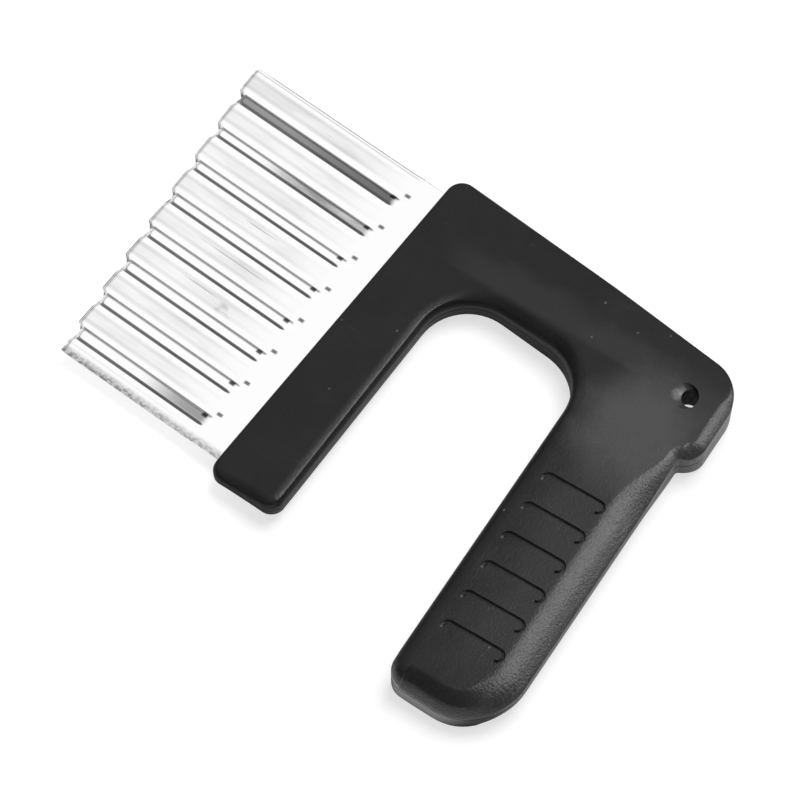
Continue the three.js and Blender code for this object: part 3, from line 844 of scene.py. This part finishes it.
def handle_half(plan, name, under):
    """One half of the handle: the outline raised row by row, each row drawn in to round the rim."""
    piece = handle_outline(plan, name)
    points = [vert.co.xy.copy() for vert in bmesh.from_edit_mesh(piece.data).faces[:][0].verts]
    rims = rim_along(plan, points, under)
    pick_all()
    for _ in range(RIM_ROWS + WALL_ROWS):
        extrude_up(1)
    order = {(round(point.x, 3), round(point.y, 3)): i for i, point in enumerate(points)}
    mesh = bmesh.from_edit_mesh(piece.data)
    for vert in mesh.verts:
        i = order[round(vert.co.x, 3), round(vert.co.y, 3)]
        vert.co = rim_place(plan, points[i], inward_at(points, i), rims[i], round(vert.co.z))
    bmesh.update_edit_mesh(piece.data)
    face_outwards()
    for line in range(TAPER_CUTS + 1):
        bisect((-plan.palm - line / TAPER_CUTS * TAPER_BLEND, 0, 0), (1, 0, 0))
    mode("OBJECT")
    return piece


HOOK_ROUND, HOOK_CUT, HOOK_END = 0.48, 0.55, 0.6  # shares of a grip mark's height
HOOK_SEGMENTS, GROOVE_SEGMENTS = 8, 3


def grip_mark(sizes, plan):
    """The first grip mark: a pipe along a hooked line, to be taken out of the grip."""
    long, high = sizes.mark_length / MM, sizes.mark_height / MM
    piece = add_piece("grip_mark", bpy.ops.mesh.primitive_plane_add, size=1)
    stretch(long, high, 1)
    shift(0, -high / 2, 0)
    bevel(HOOK_ROUND * high, "VERTICES", HOOK_SEGMENTS)
    pick_all()
    bpy.ops.mesh.delete(type="ONLY_FACE")
    pick(piece, "VERT", lambda vert: vert.co.x < 0 and vert.co.y < -HOOK_CUT * high)
    bpy.ops.mesh.delete(type="VERT")
    mode("OBJECT")
    bpy.ops.object.convert(target="CURVE")
    piece = bpy.context.object
    piece.data.bevel_depth = sizes.mark_groove / MM
    piece.data.bevel_resolution = GROOVE_SEGMENTS
    piece.data.use_fill_caps = True
    bpy.ops.object.convert(target="MESH")
    piece = bpy.context.object
    mode("EDIT")
    close_cutter()
    place = Vector((-sizes.mark_shift / MM, sizes.marks_rise / MM, plan.half - sizes.mark_sink / MM))
    fall = Matrix.Rotation(atan(sizes.mark_fall / MM / long), 4, "Y")
    piece.matrix_world = Matrix.Translation(place) @ Matrix.Rotation(sizes.mark_lean, 4, "Z") @ fall
    settle()
    return piece


def grip_marks(sizes, plan):
    """All grip marks: the first one and its copies down the grip."""
    marks = []
    for index in range(sizes.mark_count):
        down = (0, -index * sizes.mark_pitch / MM, 0)
        marks.append(copy_piece(marks[0], down) if marks else grip_mark(sizes, plan))
    return marks


def mark_hook(sizes):
    """End of the first grip mark's short hook, on the gap's side, in metres."""
    out = sizes.mark_length / 2
    fall = HOOK_END * sizes.mark_height + out * sin(sizes.mark_lean)
    return Vector((-sizes.mark_shift - out, sizes.marks_rise - fall))


HOLE_SIDES = 64
CUT_OVER = 0.5  # how far the countersink's cutter stands out of the face
CUT_BELOW = 1  # how far the bore's cutter stands out of the seam


def hole_middle(sizes, plan):
    """Middle of the hang hole in plan."""
    return plan.lobe_middle() - Vector((0, sizes.hole_drop / MM))


def sink_highlight_spot(sizes, plan):
    """Middle of the countersink's wide slope, where a highlight is painted, in metres."""
    x, y = hole_middle(sizes, plan)
    out = (sizes.hole_radius + sizes.sink_radius + sizes.sink_shift) / MM / 2
    height = 2 * plan.half - sizes.sink_depth / MM / 2
    return Vector((x + out * cos(sizes.sink_turn), y + out * sin(sizes.sink_turn), height)) * MM


def hang_hole(sizes, plan, under):
    """The bore with its countersink, which stands off to one side, to be taken out of the lobe."""
    x, y = hole_middle(sizes, plan)
    bore, wide = sizes.hole_radius / MM, sizes.sink_radius / MM
    deep = (sizes.under_sink if under else sizes.sink_depth) / MM
    piece = add_piece("hang_hole", bpy.ops.mesh.primitive_circle_add, vertices=HOLE_SIDES, radius=bore,
                      fill_type="NGON", location=(x, y, -CUT_BELOW))
    extrude_up(plan.half - deep + CUT_BELOW)
    extrude_up(deep + CUT_OVER)
    grown = (wide + (wide - bore) / deep * CUT_OVER) / bore
    stretch(grown, grown, 1, (x, y, 0))
    stray = 0 if under else sizes.sink_shift / MM * (1 + CUT_OVER / deep)
    shift(stray * cos(sizes.sink_turn), stray * sin(sizes.sink_turn), 0)
    close_cutter()
    settle()
    return piece


POCKET_FIT = 0.3  # room round the tang in its pocket


def tang_pocket(sheet):
    """The flat space between the halves that holds the blade's tang."""
    depth = sheet.gauge / 2 + SEAM
    piece = add_piece("tang_pocket", bpy.ops.mesh.primitive_plane_add, size=1)
    for y, v in ((-0.5, sheet.low - POCKET_FIT), (0.5, sheet.top + POCKET_FIT)):
        for x, out in ((-0.5, -sheet.tang), (0.5, sheet.tang + POCKET_FIT)):
            pick(piece, "VERT", lambda vert: (vert.co.xy - Vector((x, y))).length < NEAR)
            shift(sheet.spine_at(v) + out - x, v - y, -depth)
    pick_all()
    extrude_up(2 * depth)
    close_cutter()
    piece.matrix_world = Matrix.Rotation(-sheet.turn, 4, "Z")
    settle()
    return piece


EDGE_ZONE = 3  # from the cutting edge, where the sheet is ground
EDGE_TURN = 0.7  # from a ridge's foot to where the trough's edge has run out
RIDGE_END = 0.7  # share of a ridge's half width that is cut straight
BEAD_STEPS, RUN_ROWS = 9, 10  # lines along each flank of a ridge, and rows over which the waves sink
SPARE = 4  # sheet beyond the edge and the tang, cut off later
LIP_RISE = 0.5  # how far the near side is turned up
ROLL_WIDTH, ROLL_DROP = 1.5, 0.8  # strip along the free side, and how far it is rolled down
FACING_UP, FACING_OUT = 0.05, -0.25  # part of a face's normal from which it faces up, or out of the edge


class BladePlan:
    """The blade in its own axes: u along the ridges to the spine, v across them, in millimetres."""

    def __init__(self, sizes, handle):
        self.turn = sizes.ridge_lean
        self.waves = sizes.waves
        self.first_ridge = sizes.first_ridge / MM
        spin = Matrix.Rotation(self.turn, 2)
        self.foot = spin @ Vector((handle.blade_side.x, handle.blade_side.y))
        self.slant = 1 / tan(atan2(handle.blade_side.dy, handle.blade_side.dx) + self.turn)
        self.gauge = sizes.gauge / MM
        self.tang = sizes.tang / MM
        self.pitch = sizes.pitch / MM
        self.width = sizes.width / MM
        self.top = (spin @ handle.outer.crossing(handle.blade_side)).y - sizes.inset / MM
        self.low = self.top - self.width
        self.middle = (self.top + self.low) / 2
        self.reach = sizes.reach / MM
        self.edge_slant = -tan(sizes.edge_lean)

    def ridge_at(self, i):
        """Middle of ridge i across the blade, counted from the side near the bridge."""
        return self.top - self.first_ridge - i * self.pitch

    def spine_at(self, v):
        """Where the spine's blade side crosses v."""
        return self.foot.x + (v - self.foot.y) * self.slant

    def edge_at(self, v):
        """Where the cutting edge crosses v."""
        return self.spine_at(self.middle) - self.reach + (v - self.middle) * self.edge_slant

    def by_edge(self, spot):
        """Whether a spot lies where the sheet is ground."""
        return spot.x < self.edge_at(spot.y) + EDGE_ZONE


def crown_halves(sizes):
    """Half of each ridge's flat top, from the first ridge to the last."""
    growth = sizes.crown_growth / max(1, sizes.waves - 1)
    return [(sizes.crown + growth * i) / MM / 2 for i in range(sizes.waves)]


def fold_ridges(piece, sizes, plan):
    """Cuts lines along each ridge's flanks and lifts them into a rounded bead."""
    height, flank, crowns = sizes.height / MM, sizes.flank / MM, crown_halves(sizes)
    for i, crown in enumerate(crowns):
        lines = [crown + flank * step / BEAD_STEPS for step in range(BEAD_STEPS + 1)]
        for line in [*lines, crown + flank + EDGE_TURN]:
            for side in (-1, 1):
                bisect((0, plan.ridge_at(i) + side * line, 0), (0, 1, 0))
    for vert in bmesh.from_edit_mesh(piece.data).verts:
        away = min(abs(vert.co.y - plan.ridge_at(i)) - crown for i, crown in enumerate(crowns))
        vert.co.z = height / 2 * cos(pi * min(1, max(0, away / flank)))
    bmesh.update_edit_mesh(piece.data)


def sink_ridges(piece, sizes, plan):
    """Cuts rows along the spine, and sinks the waves over them into the flat strip and the tang."""
    flat, run = sizes.flat_strip / MM, sizes.run_out / MM
    rows = [i / RUN_ROWS for i in range(RUN_ROWS + 1)]
    square = Vector((1, -plan.slant, 0)).normalized()
    for share in rows:
        bisect((plan.spine_at(0) - flat - run * (1 - share), 0, 0), square)
    bisect((plan.spine_at(0) + plan.tang, 0, 0), square, clear_outer=True)

    def sunk(vert):
        """How far a point lies past the start of the run-out."""
        return vert.co.x - (plan.spine_at(vert.co.y) - flat - run)

    for share in rows:
        pick(piece, "VERT", lambda vert: abs(sunk(vert) - share * run) < ON_PLANE)
        stretch(1, 1, 1 - smooth_step(share, 0, 1))
    pick(piece, "VERT", lambda vert: sunk(vert) > run + NEAR)
    stretch(1, 1, 0)


def turn_sides(piece, sizes, plan):
    """Turns the side near the bridge up a little, and rolls the free side down."""
    strip = plan.spine_at(plan.top) - sizes.flat_strip / MM
    bisect((0, plan.top - sizes.lip / MM, 0), (0, 1, 0))
    pick(piece, "VERT", lambda vert: vert.co.y > plan.top - NEAR and vert.co.x < strip)
    shift(0, 0, LIP_RISE)
    bisect((0, plan.low + ROLL_WIDTH, 0), (0, 1, 0))
    pick(piece, "VERT", lambda vert: vert.co.y < plan.low + NEAR)
    shift(0, 0, -ROLL_DROP)


def edge_shift(sizes, plan, v):
    """How far the edge stands back at v: ridges' ends are cut, and troughs' edges run out aslant."""
    cut_back, skew = sizes.ridge_cut / MM, sizes.edge_skew / MM
    start = plan.top
    for i, crown in enumerate(crown_halves(sizes)):
        middle, foot = plan.ridge_at(i), crown + sizes.flank / MM
        if v > middle + foot + EDGE_TURN:
            return -skew * (start - v) / (start - middle - foot - EDGE_TURN)
        if v > middle - foot - EDGE_TURN - NEAR:
            share = smooth_step(abs(v - middle), RIDGE_END * foot, foot + EDGE_TURN)
            return blend(cut_back, -skew if v > middle else 0, share)
        start = middle - foot - EDGE_TURN
    return 0.0


def grind_edge(piece, sizes, plan):
    """Grinds the edge back along a steep plane, bevels its upper rim and shapes it along the waves."""
    height = sizes.height / MM
    point = Vector((plan.edge_at(0), 0, -height / 2 - plan.gauge / 2))
    grind = Vector((1, -plan.edge_slant, -sizes.setback / MM / height)).normalized()

    def ground(spot):
        """Whether a spot lies on the ground plane."""
        return abs((spot - point).dot(grind)) < ON_PLANE

    def upper_rim(edge):
        """Whether an edge bounds both the ground plane and a face of the sheet's upper side."""
        upper = [face for face in edge.link_faces if face.normal.z > FACING_UP]
        meets = any(not ground(face.calc_center_median()) for face in upper)
        return meets and all(ground(vert.co) for vert in edge.verts)

    mode("EDIT")
    bisect(point, grind, clear_inner=True, use_fill=True)
    pick(piece, "EDGE", upper_rim)
    bevel(sizes.bevel / MM, "EDGES", 1)
    mode("OBJECT")
    for vert in piece.data.vertices:
        if plan.by_edge(vert.co):
            vert.co.x += edge_shift(sizes, plan, vert.co.y)
    # Ground facets: rougher steel, and a little painted shade at the troughs' ends
    facets = piece.data.attributes.new("ground", "FLOAT", "FACE")
    for face in piece.data.polygons:
        facets.data[face.index].value = float(plan.by_edge(face.center) and face.normal.x < FACING_OUT)


def blade_sheet(sizes, plan):
    """The blade: a plate folded into waves that sink into a flat tang, thickened and ground."""
    start = min(plan.edge_at(plan.low), plan.edge_at(plan.top)) - SPARE
    end = max(plan.spine_at(plan.low), plan.spine_at(plan.top)) + plan.tang + SPARE
    piece = add_piece("blade_sheet", bpy.ops.mesh.primitive_plane_add, size=1)
    stretch(end - start, plan.width, 1)
    shift((start + end) / 2, plan.middle, 0)
    for shape in (fold_ridges, sink_ridges, turn_sides):
        shape(piece, sizes, plan)
    mode("OBJECT")
    # Which way each point faces across the ridges, which the steel reads to paint dark lines along the
    # flanks
    flanks = piece.data.attributes.new("flank", "FLOAT", "POINT")
    for vert in piece.data.vertices:
        flanks.data[vert.index].value = vert.normal.y
    modify(piece, "SOLIDIFY", thickness=plan.gauge, offset=0, use_even_offset=True)
    grind_edge(piece, sizes, plan)
    piece.matrix_world = Matrix.Rotation(-plan.turn, 4, "Z")
    settle()
    return piece


# The stage, in metres: a floor, lamps round the target, a dome of light and the camera. A lamp has its
# place right of the target, behind it and above it, its size, its watts, and whether it only makes gloss.
FLOOR_SIZE, FLOOR_HEIGHT = 8, -0.0001
TARGET = Vector((-46.5, 21.3, 6.8)) * MM
CAMERA_PLACE = TARGET + Vector((187.8, -285.9, 939.7)) * MM
CAMERA_RIGHT, CAMERA_AHEAD = Vector((0.8358, 0.549, 0)), Vector((-0.549, 0.8358, 0))
SENSOR, PICTURE_WIDTH = 36, 800
PIXELS_PER_MM, CAMERA_AWAY = 4.46, 1000  # at the target, and how many millimetres the camera is off
LAMPS = [
    ("key_light", 0.8, -0.15, 0.95, 0.8, 18.0, True),
    ("side_light", 1.1, -0.1, 0.35, 0.7, 10.0, True),
    ("back_light", 0.25, 0.27, 1.1, 0.5, 11.2, False),
]
DOME = [(0.0, 0.04), (0.14, 0.15), (0.3, 0.6), (0.62, 1.0)]  # the dome's light by height
GLOOM_WAY, GLOOM = (-0.30, -0.954, 0.0), 0.14  # the dome's dark side and its light


def aim(thing):
    """Turns a lamp or a camera to the target."""
    thing.rotation_euler = (TARGET - thing.location).to_track_quat("-Z", "Y").to_euler()


def set_floor(colour):
    """Lays the pale floor."""
    deselect_all()
    bpy.ops.mesh.primitive_plane_add(size=FLOOR_SIZE, location=(0, 0, FLOOR_HEIGHT))
    floor = bpy.context.object
    floor.name = "floor"
    floor.data.materials.append(pale_floor(colour))


def set_lamps():
    """Hangs the lamps."""
    for name, right, ahead, height, size, watts, shines in LAMPS:
        place = TARGET + CAMERA_RIGHT * right + CAMERA_AHEAD * ahead + Vector((0, 0, height))
        bpy.ops.object.light_add(type="AREA", location=place)
        lamp = bpy.context.object
        lamp.name = name
        lamp.data.size = size
        lamp.data.energy = watts
        lamp.visible_glossy = shines
        lamp.visible_diffuse = not shines
        aim(lamp)


def set_dome(scene):
    """Lights the world as a dome that the camera sees as white, bright above and dark on one low side."""
    scene.world = scene.world or bpy.data.worlds.new("studio")
    scene.world.use_nodes = True
    scene.world.node_tree.nodes.clear()
    start = Wire(scene.world.node_tree)
    seen, glossy = rays(start)
    view = start.node("ShaderNodeTexCoord", output="Generated")
    height = view.axis("Z")
    dome = start.node("ShaderNodeValToRGB", {"stops": DOME}, {"Fac": height})
    compass = view.vector("MULTIPLY", (1, 1, 0)).vector("NORMALIZE")
    dark = compass.vector("DOT_PRODUCT", GLOOM_WAY, "Value").step(0.5, 0.85) * height.fall(0.33, 0.56)
    dome = dome * (1 - dark) + GLOOM * dark
    shade = dome * (0.35 + 0.67 * glossy) * (1 - seen) + seen
    back = start.node("ShaderNodeBackground", None, {"Color": shade, "Strength": 1.0})
    start.node("ShaderNodeOutputWorld", None, {"Surface": back})


def set_camera(scene):
    """Places the camera as the photograph was taken."""
    bpy.ops.object.camera_add(location=CAMERA_PLACE)
    camera = bpy.context.object
    aim(camera)
    camera.data.sensor_width = SENSOR
    camera.data.lens = PIXELS_PER_MM * CAMERA_AWAY / PICTURE_WIDTH * SENSOR
    camera.data.clip_start = 0.01
    scene.camera = camera


# Operators
PLASTIC_SMOOTH, STEEL_SMOOTH = 32, 40  # degrees, up to which an edge is shaded smooth


class CUTTER_OT_handle(bpy.types.Operator):
    """Models the two moulded halves of the handle"""
    bl_idname = "cutter.handle"
    bl_label = "Handle halves"

    def execute(self, context):
        sizes = context.scene.cutter_handle
        plan = HandlePlan(sizes)
        sheet = BladePlan(context.scene.cutter_blade, plan)
        plastic = moulded_plastic(context.scene.cutter_finishes.plastic, sizes, plan)
        for name, node, under in (("handle_upper", "handle_top_half", False),
                                  ("handle_lower", "handle_bottom_half", True)):
            half = handle_half(plan, name, under)
            holes = join([*grip_marks(sizes, plan), hang_hole(sizes, plan, under)])
            cut(half, holes, tang_pocket(sheet))
            half.scale.z = -1 if under else 1
            half.location.z = plan.half
            finish_piece(half, node, plastic, PLASTIC_SMOOTH)
        return {"FINISHED"}


class CUTTER_OT_blade(bpy.types.Operator):
    """Models the corrugated blade with its ground edge and flat tang"""
    bl_idname = "cutter.blade"
    bl_label = "Blade"

    def execute(self, context):
        sizes, handle = context.scene.cutter_blade, HandlePlan(context.scene.cutter_handle)
        plan = BladePlan(sizes, handle)
        steel = rolled_steel(context.scene.cutter_finishes.steel, plan)
        sheet = blade_sheet(sizes, plan)
        sheet.location.z = handle.half
        finish_piece(sheet, "blade", steel, STEEL_SMOOTH)
        return {"FINISHED"}


class CUTTER_OT_pins(bpy.types.Operator):
    """Dresses the pins that hold the tang between the halves"""
    bl_idname = "cutter.pins"
    bl_label = "Tang pins"

    def execute(self, context):
        steel = drawn_steel(context.scene.cutter_finishes.pin)
        for name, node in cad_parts.items():
            if name.startswith("tang_pin"):
                node.data.materials.clear()
                node.data.materials.append(steel)
        return {"FINISHED"}


class CUTTER_OT_stage(bpy.types.Operator):
    """Sets the pale floor, the soft studio light and the camera"""
    bl_idname = "cutter.stage"
    bl_label = "Stage"

    def execute(self, context):
        set_floor(context.scene.cutter_finishes.floor)
        set_lamps()
        set_dome(context.scene)
        set_camera(context.scene)
        context.scene.view_settings.view_transform = "Standard"
        return {"FINISHED"}


class CUTTER_PT_panel(bpy.types.Panel):
    """Lists the pieces of the cutter"""
    bl_idname = "CUTTER_PT_panel"
    bl_label = "Crinkle cutter"
    bl_space_type = "VIEW_3D"
    bl_region_type = "UI"
    bl_category = "Cutter"

    def draw(self, context):
        for operator in OPERATORS:
            self.layout.operator(operator.bl_idname)
        for group in GROUPS:
            box = self.layout.box()
            sizes = getattr(context.scene, group)
            for name in GROUPS[group].__annotations__:
                box.prop(sizes, name)


OPERATORS = (CUTTER_OT_handle, CUTTER_OT_blade, CUTTER_OT_pins, CUTTER_OT_stage)
GROUPS = {"cutter_handle": HandleSizes, "cutter_blade": BladeSizes, "cutter_finishes": Finishes}


def register():
    """Makes the sizes, the operators and the panel known."""
    for part in (*GROUPS.values(), *OPERATORS, CUTTER_PT_panel):
        bpy.utils.register_class(part)
    for name, group in GROUPS.items():
        setattr(bpy.types.Scene, name, PointerProperty(type=group))


def unregister():
    """Takes back what register made known."""
    for name in GROUPS:
        delattr(bpy.types.Scene, name)
    for part in reversed((*GROUPS.values(), *OPERATORS, CUTTER_PT_panel)):
        bpy.utils.unregister_class(part)


def main():
    """Makes every piece and the stage."""
    register()
    bpy.ops.cutter.handle()
    bpy.ops.cutter.blade()
    bpy.ops.cutter.pins()
    bpy.ops.cutter.stage()


if __name__ == "__main__":
    main()
